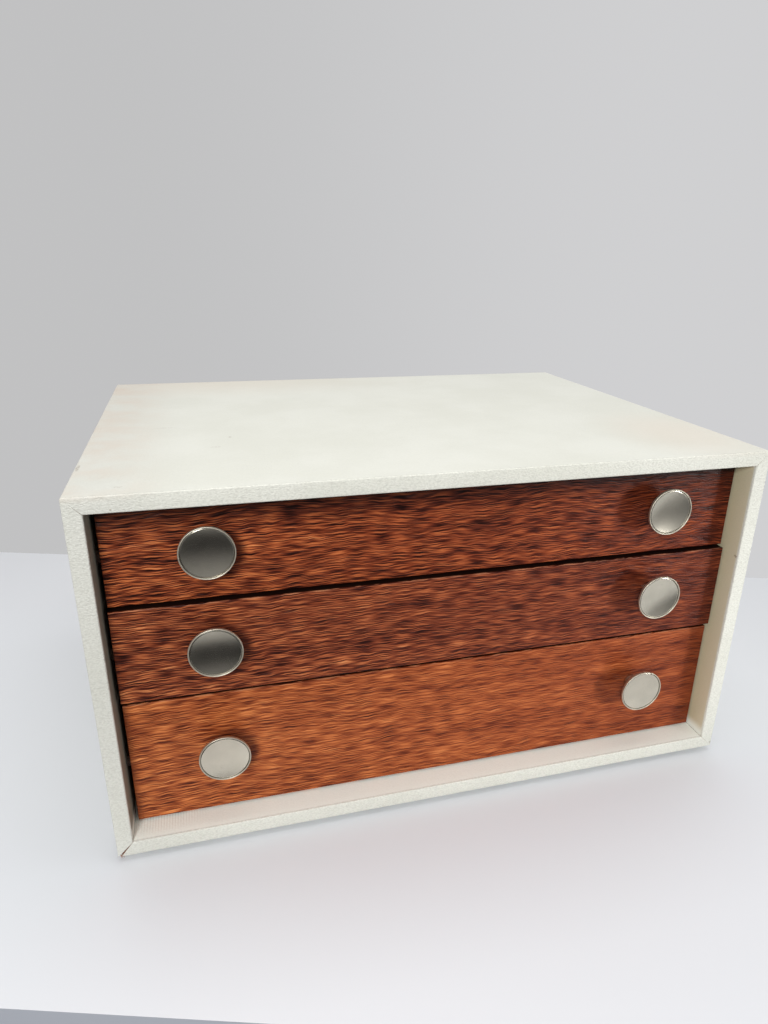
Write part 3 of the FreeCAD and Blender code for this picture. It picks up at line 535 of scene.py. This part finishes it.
baize = Recipe("green_baize")
nap = baize.noise(baize.place, 1.6, 3.0, 0.7)
BAIZE = baize.finish(colour=baize.ramp(nap, [(0.3, srgb(20, 66, 44)), (0.7, srgb(36, 92, 62))]), rough=0.95,
                     sheen=0.4, normal=baize.bump(nap, 0.0003, 0.5))
bare = Recipe("bare_board")
board_tone = bare.noise(bare.place, 0.4, 3.0)
BARE_BOARD = bare.finish(colour=bare.blend(board_tone, srgb(150, 112, 92), srgb(190, 150, 128)), rough=0.9)
STEEL = Recipe("steel").finish(colour=srgb(150, 150, 152), rough=0.4, metal=1.0)
RUBBER = Recipe("foot_rubber").finish(colour=srgb(28, 28, 28), rough=0.8)
print("plain materials:", ", ".join(material.name for material in (
    SIDE_WOOD, CROSS_WOOD, RUNNER_WOOD, BOARD, BAIZE, BARE_BOARD, STEEL, RUBBER)))

# %% [markdown]
# ## Knob metal
#
# Each knob is a dished disc of satin nickel. The turning marks are circles about the knob's axis,
# so they depend only on the distance from it, which each disc carries as `radius_mm`. A dark line
# runs inside the rim, the rim is duller than the dish, and dust and a few pits dot the metal.

# %% Knob material
def knob_material(name, tint, dish_rough):
    """Satin nickel with smudges, pits, dust, a dark line inside the rim and turning marks."""
    metal = Recipe(name)
    read = metal.tree.nodes.new("ShaderNodeAttribute")
    read.attribute_name = "radius_mm"
    radius = read.outputs["Fac"]
    smudge = metal.noise(metal.place, 0.10, 3.0, 0.6)
    pits = metal.between(metal.cells(metal.place, 0.16), 0.06, 0.03)
    groove = metal.product(metal.between(radius, 14.6, 14.9), metal.between(radius, 15.25, 15.1))
    dust = metal.between(metal.cells(metal.place, 0.25), 0.07, 0.04)
    colour = metal.blend(metal.product(smudge, 0.3), tint, srgb(126, 118, 108))
    colour = metal.blend(metal.product(pits, 0.6), colour, srgb(80, 78, 74))
    colour = metal.blend(metal.product(groove, 0.85), colour, srgb(48, 44, 40))
    colour = metal.blend(metal.product(dust, 0.5), colour, srgb(240, 238, 232))
    rings = metal.noise(metal.join(metal.product(radius, 3.0), 0.0, 0.0), 1.0, 2.0, 0.6)
    height = metal.math("MULTIPLY_ADD", rings, 0.5, smudge)
    rough = metal.math("MULTIPLY_ADD", smudge, 0.08, dish_rough)
    rough = metal.math("MULTIPLY_ADD", metal.between(radius, 15.0, 15.15), 0.26, rough)
    return metal.finish(colour=colour, metal=1.0, rough=rough, normal=metal.bump(height, 0.000006, 0.15))


NICKEL = knob_material("satin_nickel", srgb(216, 210, 193), 0.16)
print("knob metal:", NICKEL.name)

# %% [markdown]
# ## New surfaces
#
# A surface is computed as a grid of points, rows by columns, and joined into four-sided faces.
# Finished pieces keep their places in their points, so each object stands at the origin.

# %% Grids and turned surfaces
def grid_faces(rows, columns, wrap):
    """Corner numbers of a grid's faces; `wrap` joins the last column to the first."""
    row, column = np.meshgrid(np.arange(rows - 1), np.arange(columns if wrap else columns - 1), indexing="ij")
    following = (column + 1) % columns
    corners = (row * columns + column, row * columns + following,
               (row + 1) * columns + following, (row + 1) * columns + column)
    return np.stack([corner.ravel() for corner in corners], axis=1)


def turn_outwards(mesh):
    """Make all the faces of a closed mesh point outwards."""
    shape = bmesh.new()
    shape.from_mesh(mesh)
    bmesh.ops.recalc_face_normals(shape, faces=shape.faces)
    shape.to_mesh(mesh)
    shape.free()


def new_piece(name, points, faces, material, smooth=True, ends=()):
    """A closed piece from an array of points and one of faces; `ends` lists flat closing faces."""
    mesh = bpy.data.meshes.new(name)
    mesh.from_pydata(points.tolist(), [], faces.tolist() + list(ends))
    mesh.materials.append(material)
    flags = np.full(len(mesh.polygons), smooth)
    flags[len(faces):] = False
    mesh.polygons.foreach_set("use_smooth", flags)
    turn_outwards(mesh)
    piece = bpy.data.objects.new(name, mesh)
    bpy.context.scene.collection.objects.link(piece)
    return piece


def lathe(name, centre, profile, material, turns=96):
    """A surface turned about a line along Y: point = centre + (r cos a, -s, r sin a) for (s, r)."""
    shape = (len(profile), turns)
    out, radius = (np.broadcast_to(column[:, None], shape) for column in np.array(profile).T * MM)
    angle = np.linspace(0.0, 2.0 * math.pi, turns, endpoint=False)
    points = np.stack([radius * np.cos(angle), -out, radius * np.sin(angle)], axis=-1) + np.array(centre)
    piece = new_piece(name, points.reshape(-1, 3), grid_faces(*shape, wrap=True), material)
    layer = piece.data.attributes.new("radius_mm", "FLOAT", "POINT")
    layer.data.foreach_set("value", (radius / MM).astype(np.float32).ravel())
    return piece


def rounded(points, radius, steps=5):
    """An outline of (s, r) points whose inner corners are rounded with short arcs."""
    points = [np.array(point, dtype=float) for point in points]
    result = [points[0]]
    for before, here, after in zip(points[:-2], points[1:-1], points[2:]):
        back, ahead = before - here, after - here
        reach = min(radius, 0.45 * np.linalg.norm(back), 0.45 * np.linalg.norm(ahead))
        start = here + back / np.linalg.norm(back) * reach
        stop = here + ahead / np.linalg.norm(ahead) * reach
        for part in np.linspace(0.0, 1.0, steps):
            result.append((1 - part) ** 2 * start + 2 * part * (1 - part) * here + part ** 2 * stop)
    return result + [points[-1]]


# %% [markdown]
# ## Wrapped case panels
#
# Each panel is a board wrapped in cloth, mitred at both ends. Its section is a rounded rectangle
# with a step for the back, and every point of the section runs along the panel until it meets the
# mitre, at length/2 - a for a point `a` in from the outer face. Near a mitre the cloth turns in a
# little, the outer faces sway by up to 0.07 mm, and at the lower left corner the joint has opened.

# %% Wrapped panels
FRONT_ROUNDING = 0.9
FOLD = 1.2
FOLD_TIP = FOLD * (1 - 1 / math.sqrt(2))
REBATE = 4.8
MITRE_GAP = 0.02
OPENING_IN, OPENING_BACK = 6.5, 26.0
TUCK, TUCK_REACH, TUCK_EDGE = 0.10, 0.8, 1.3
SWAY, SWAY_ALONG, SWAY_BACK = 0.07, 23.0, 31.0
STRAIGHT_FROM = 6.0
ROWS_AT_MITRE = np.array([0.0, 0.12, 0.25, 0.4, 0.6, 0.85, 1.2, 1.6, 2.2, 3.0])


def panel_section():
    """How far in from the outer face and how far back the section's points are, in millimetres."""
    ease = FRONT_ROUNDING
    angles = np.linspace(0.0, math.pi / 2, 6)
    outer = [(ease - ease * math.sin(turn), ease - ease * math.cos(turn)) for turn in angles]
    inner = [(WALL - ease + ease * math.cos(turn), ease - ease * math.sin(turn)) for turn in angles]
    runs = [(0.0, y) for y in np.linspace(STRAIGHT_FROM, DEPTH - 1.0, 60)]
    rear = [(0.3, DEPTH), (WALL / 2, DEPTH), (WALL / 2, DEPTH - REBATE), (WALL, DEPTH - REBATE)]
    inside = [(WALL, y) for y in np.linspace(DEPTH - 10.0, STRAIGHT_FROM, 60)]
    return np.array(outer + runs + rear + inside + inner).T


def wrapped_panel(name, flat, side, openings):
    """One wrapped panel. `openings` gives how far each mitre has opened at its outer front corner."""
    depth_in, back = panel_section()
    half = (WIDTH if flat else HEIGHT) / 2
    shares = np.concatenate([1 - ROWS_AT_MITRE / half, np.linspace(1 - STRAIGHT_FROM / half, 0.0, 40)])
    shares = np.concatenate([-shares, shares[::-1][1:]])[:, None]

    fading = np.clip(1 - depth_in / OPENING_IN, 0, 1) ** 1.3 * np.clip(1 - back / OPENING_BACK, 0, 1)
    reach = half - np.maximum(depth_in, FOLD_TIP) - (MITRE_GAP + np.where(shares < 0, *openings) * fading)
    along = shares * reach
    beyond = np.maximum(0.0, np.abs(along) - (half - FOLD))
    corner = FOLD - np.sqrt(np.maximum(FOLD ** 2 - beyond ** 2, 0.0))

    tuck = TUCK * np.clip(1 - (reach - np.abs(along)) / TUCK_REACH, 0, 1) ** 2
    from_middle = WALL / 2 - depth_in
    pull = np.sign(from_middle) * tuck * (np.abs(from_middle) > WALL / 2 - TUCK_EDGE)
    sway = SWAY * np.sin(along / SWAY_ALONG + depth_in) * np.sin(back / SWAY_BACK + 1.7)
    inward = np.maximum(depth_in, corner) + pull + np.abs(sway) * (depth_in < 0.01)
    if flat:
        x, z = along, (inward if side < 0 else HEIGHT - inward)
    else:
        x, z = side * (WIDTH / 2 - inward), half + along
    points = np.stack([x, back + tuck * (back < TUCK_EDGE), z], axis=-1).reshape(-1, 3)

    base = np.array([(CASE_LOW[0] + CASE_HIGH[0]) / 2, CASE_LOW[1], CASE_LOW[2]])
    faces = grid_faces(*along.shape, wrap=True)
    first, last = list(range(len(back))), list(range(len(points) - len(back), len(points)))
    piece = new_piece(name, points * MM + base, faces, CLOTH, ends=(first[::-1], last))
    piece.data.materials.append(BARE_BOARD)
    for end in (0, 1):
        piece.data.polygons[len(faces) + end].material_index = 1
    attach(piece, "case")
    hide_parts(name.replace("_cover", "_panel"))


wrapped_panel("case_top_cover", True, 1, (0.0, 0.0))
wrapped_panel("case_bottom_cover", True, -1, (2.3, 0.05))
wrapped_panel("case_left_cover", False, -1, (0.35, 0.0))
wrapped_panel("case_right_cover", False, 1, (0.05, 0.0))
print("four wrapped panels")

# %% [markdown]
# ## Knob discs
#
# The disc is turned from the same outline as the CAD dish, with its edges rounded. Inside a thin
# rim with a rounded bead and a small step lies a shallow bowl, whose depth at a distance r from
# the axis is 0.5 mm + 1.2 mm * (1 - (r / rim)^2). A stud at the back ends in the knob's stem.

# %% Turned discs
RIM_WIDTH = 0.8
BEAD = 0.38
DISH_STEP, DISH_DEPTH = 0.5, 1.2


def knob_disc(node):
    """A finely turned disc in place of one CAD dish."""
    low, high = node_box(node)
    centre = ((low[0] + high[0]) / 2, low[1], (low[2] + high[2]) / 2)
    radius = (high[0] - low[0]) / 2 / MM
    rim = radius - RIM_WIDTH
    bowl = [(-DISH_STEP - DISH_DEPTH * (1 - (r / rim) ** 2), r) for r in np.linspace(0.0, rim - 0.35, 28)]
    turn = np.linspace(0.0, math.pi, 13)
    crown = list(zip(-BEAD + BEAD * np.sin(turn), radius - BEAD - BEAD * np.cos(turn)))
    edge = rounded([(-1.2, radius), (-1.8, radius), (-5.0, 8.0)], 0.22)
    stud = [(-5.0, 2.5), (-6.95, 2.5), (-6.95, 0.001)]
    outline = bowl + [(-RIM_WIDTH, rim - 0.22)] + crown + edge + stud
    piece = lathe(node.replace("dish", "disc"), centre, outline, NICKEL)
    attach(piece, node.split("_drawer")[0] + "_drawer")
    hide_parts(node)


for row in ROWS:
    for side in SIDES:
        knob_disc(f"{row}_drawer_{side}_knob_dish")
print("six discs")

# %% [markdown]
# ## Linings
#
# Each drawer's lining is one piece of baize laid on the bottom. Its upper side waves a little:
# height = 0.9 mm + 0.09 mm * sin(x / 31 mm) * sin(y / 43 mm).

# %% Baize linings
def slab(name, upper, lower, material):
    """A closed piece between two grids of points, with walls round the edge."""
    rows, columns = upper.shape[:2]
    below = rows * columns
    number = np.arange(below).reshape(rows, columns)
    ring = np.concatenate([number[0], number[1:, -1], number[-1, -2::-1], number[-2:0:-1, 0]])
    following = np.roll(ring, -1)
    walls = np.stack([ring, following, following + below, ring + below], axis=1)
    top = grid_faces(rows, columns, wrap=False)
    faces = np.concatenate([top, top[:, ::-1] + below, walls])
    points = np.concatenate([upper.reshape(-1, 3), lower.reshape(-1, 3)])
    return new_piece(name, points, faces, material, smooth=False)


def lining_cloth(row):
    """The baize on one drawer's bottom, in place of its CAD lining."""
    low, high = node_box(f"{row}_drawer_lining")
    x, y = np.meshgrid(np.linspace(low[0], high[0], 61), np.linspace(low[1], high[1], 45), indexing="ij")
    top = low[2] + 0.0009 + 0.00009 * np.sin(x / 0.031) * np.sin(y / 0.043)
    piece = slab(f"{row}_drawer_lining_cloth", np.stack([x, y, top], axis=-1),
                 np.stack([x, y, np.full_like(x, low[2])], axis=-1), BAIZE)
    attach(piece, f"{row}_drawer")
    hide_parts(f"{row}_drawer_lining")


for row in ROWS:
    lining_cloth(row)
print("three linings")

# %% [markdown]
# ## The frayed corner
#
# At the lower left corner, where the mitre has opened, a few fibres of the board stick out. Each is
# a thin three-sided cone, and all start from nearly one place.

# %% Fibres
FIBRES = 9
FRAY_PLACE = np.array([2.6, 1.0, 0.9])
LOWEST_TIP = 0.0008
generator = np.random.default_rng(4)
angle = generator.uniform(-2.6, -1.1, FIBRES)
length = generator.uniform(1.6, 3.6, FIBRES) * MM
scatter = generator.uniform(-0.5, 0.5, (FIBRES, 3)) * np.array([3, 2, 1])
root = CASE_LOW + FRAY_PLACE * MM + scatter * MM
tip = root + np.stack([np.cos(angle) * length, np.zeros(FIBRES), np.sin(angle) * length], axis=1)
tip[:, 2] = np.maximum(tip[:, 2], LOWEST_TIP)
foot = np.array([[1.0, 0.0, 0.0], [-0.5, 0.8, 0.0], [-0.5, -0.8, 0.0]]) * 0.32 * MM
points = np.concatenate([root[:, None, :] + foot, tip[:, None, :]], axis=1).reshape(-1, 3)
start = np.arange(FIBRES)[:, None] * 4
faces = np.concatenate([start + np.array(corners) for corners in ((0, 1, 3), (1, 2, 3), (2, 0, 3), (0, 2, 1))])
fray = new_piece("case_corner_fray", points, faces, BARE_BOARD, smooth=False)
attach(fray, "case")
print(FIBRES, "fibres")

# %% [markdown]
# ## Dressing the frame
#
# The CAD nodes keep their shapes; only their materials change here, by the end of their names.

# %% Assign the materials
ENDINGS = (("_back_panel", BOARD), ("_panel", CLOTH), ("_drawer_bottom", BOARD), ("_knob_dish", NICKEL),
           ("_knob_stem", NICKEL), ("_lining", BAIZE), ("_foot", RUBBER), ("_pins", STEEL), ("_screws", STEEL),
           ("_runner", RUNNER_WOOD), ("_side", SIDE_WOOD))
for row in ROWS:
    ENDINGS += ((f"{row}_drawer_front", VENEERS[row]),)

for node in NODES:
    mesh = NODES[node].data
    mesh.materials.clear()
    mesh.materials.append(next((material for ending, material in ENDINGS if node.endswith(ending)), CROSS_WOOD))
print(len(NODES), "nodes dressed")

# %% [markdown]
# ## Table
#
# The chest stands askew on a pale table: the table's front and back edges run along
# y = c - 0.33 x. No wall is built, so that the chest can be looked at from behind.

# %% Table
SLANT = -0.33
FRONT_EDGE, BACK_EDGE = -0.340, 0.256
LEFT, RIGHT = -1.7, 1.7


def stage_plane(name, corners, colour, rough):
    """A flat stage piece from its four corners (c, x, z), where y = c - 0.33 x."""
    mesh = bpy.data.meshes.new(name)
    mesh.from_pydata([(x, start + SLANT * x, z) for start, x, z in corners], [], [(0, 1, 2, 3)])
    plane = bpy.data.objects.new(name, mesh)
    bpy.context.scene.collection.objects.link(plane)
    paint = Recipe(name + "_paint")
    mesh.materials.append(paint.finish(colour=colour, rough=rough, specular=0.3))


stage_plane("table_top", ((FRONT_EDGE, LEFT, 0.0), (FRONT_EDGE, RIGHT, 0.0), (BACK_EDGE, RIGHT, 0.0),
                          (BACK_EDGE, LEFT, 0.0)), srgb(228, 230, 233), 0.45)
stage_plane("table_front", ((FRONT_EDGE, LEFT, -0.03), (FRONT_EDGE, RIGHT, -0.03), (FRONT_EDGE, RIGHT, 0.0),
                            (FRONT_EDGE, LEFT, 0.0)), srgb(176, 180, 188), 0.6)
stage_plane("table_back", ((BACK_EDGE, RIGHT, -0.9), (BACK_EDGE, LEFT, -0.9), (BACK_EDGE, LEFT, 0.0),
                           (BACK_EDGE, RIGHT, 0.0)), srgb(228, 230, 233), 0.6)
print("table")

# %% [markdown]
# ## Lights
#
# A wide panel hangs above, a smaller one stands in front to the left, and a narrow beam from the
# right front is aimed at the right knobs.

# %% Lights
def hang(light, place, target):
    """Put a light at its place, turned towards a target."""
    lamp = bpy.data.objects.new(light.name, light)
    lamp.location = place
    lamp.rotation_euler = (Vector(target) - Vector(place)).to_track_quat("-Z", "Y").to_euler()
    bpy.context.scene.collection.objects.link(lamp)


def soft_panel(name, size, power):
    """A square area light."""
    light = bpy.data.lights.new(name, "AREA")
    light.shape = "SQUARE"
    light.size = size
    light.energy = power
    return light


hang(soft_panel("overhead", size=1.0, power=7.8), (0.1, 0.0, 1.5), (0.0, 0.0, 0.1))
hang(soft_panel("left_key", size=0.26, power=8.4), (-0.45, -1.10, 0.68), (0.0, -0.1, 0.12))
right_key = bpy.data.lights.new("right_key", "SPOT")
right_key.energy = 18.0
right_key.spot_size = math.radians(24.0)
right_key.spot_blend = 1.0
right_key.shadow_soft_size = 0.08
hang(right_key, (0.82, -0.91, 0.24), (0.17, -0.17, 0.14))
print("three lights")

# %% [markdown]
# ## Surround
#
# The surround depends on the direction alone. Its rear half is a plain pale grey, lighter to the
# right. Its front half is the room, which the knobs mirror: grey above, dark some way below the
# horizon, and pale again further down. To the right of the room the dark is only a shade.

# %% Surround
AHEAD = ((0.10, 0.60), (0.165, 0.52), (0.20, 0.015), (0.28, 0.015), (0.305, 0.05), (0.345, 0.17),
         (0.42, 0.30), (0.60, 0.32), (0.80, 0.44))
ASIDE = ((0.21, 0.50), (0.265, 0.46), (0.30, 0.30), (0.34, 0.18), (0.38, 0.26), (0.42, 0.40),
         (0.47, 0.46), (0.60, 0.34), (0.80, 0.44))
REAR_LEFT, REAR_RIGHT = (0.535, 0.535, 0.54, 1.0), (0.63, 0.63, 0.64, 1.0)
world = bpy.data.worlds.new("surround")
bpy.context.scene.world = world
world.use_nodes = True
tree = world.node_tree
direction = tree.nodes.new("ShaderNodeSeparateXYZ")
tree.links.new(tree.nodes.new("ShaderNodeTexCoord").outputs["Generated"], direction.inputs[0])
height = tree.nodes.new("ShaderNodeMath")
height.operation = "MULTIPLY_ADD"
height.inputs[1].default_value = 0.5
height.inputs[2].default_value = 0.5
tree.links.new(direction.outputs["Z"], height.inputs[0])


def surround_ramp(stops):
    """Grey by the direction's height, 0 straight down and 1 straight up, from (height, grey) stops."""
    ramp = tree.nodes.new("ShaderNodeValToRGB")
    while len(ramp.color_ramp.elements) < len(stops):
        ramp.color_ramp.elements.new(0.5)
    for element, (place, shade) in zip(ramp.color_ramp.elements, stops):
        element.position = place
        element.color = (shade, shade, shade * 1.03, 1.0)
    tree.links.new(height.outputs[0], ramp.inputs[0])
    return ramp.outputs[0]


def turned(axis, start, end, before, after):
    """The surround before and after a soft turn, where one part of the direction goes from start to end."""
    turn = tree.nodes.new("ShaderNodeMapRange")
    turn.interpolation_type = "SMOOTHSTEP"
    turn.inputs["From Min"].default_value = start
    turn.inputs["From Max"].default_value = end
    tree.links.new(direction.outputs[axis], turn.inputs["Value"])
    mix = tree.nodes.new("ShaderNodeMix")
    mix.data_type = "RGBA"
    tree.links.new(turn.outputs[0], mix.inputs[0])
    for socket, colour in ((mix.inputs[6], before), (mix.inputs[7], after)):
        if isinstance(colour, tuple):
            socket.default_value = colour
        else:
            tree.links.new(colour, socket)
    return mix.outputs[2]


rear = turned("X", -0.1, 0.6, REAR_LEFT, REAR_RIGHT)
room = turned("X", 0.2, 0.6, surround_ramp(AHEAD), surround_ramp(ASIDE))
tree.links.new(turned("Y", -0.05, 0.2, room, rear), tree.nodes["Background"].inputs["Color"])
tree.nodes["Background"].inputs["Strength"].default_value = 1.0
bpy.context.scene.view_settings.view_transform = "Standard"
print("surround with", len(tree.nodes), "nodes")
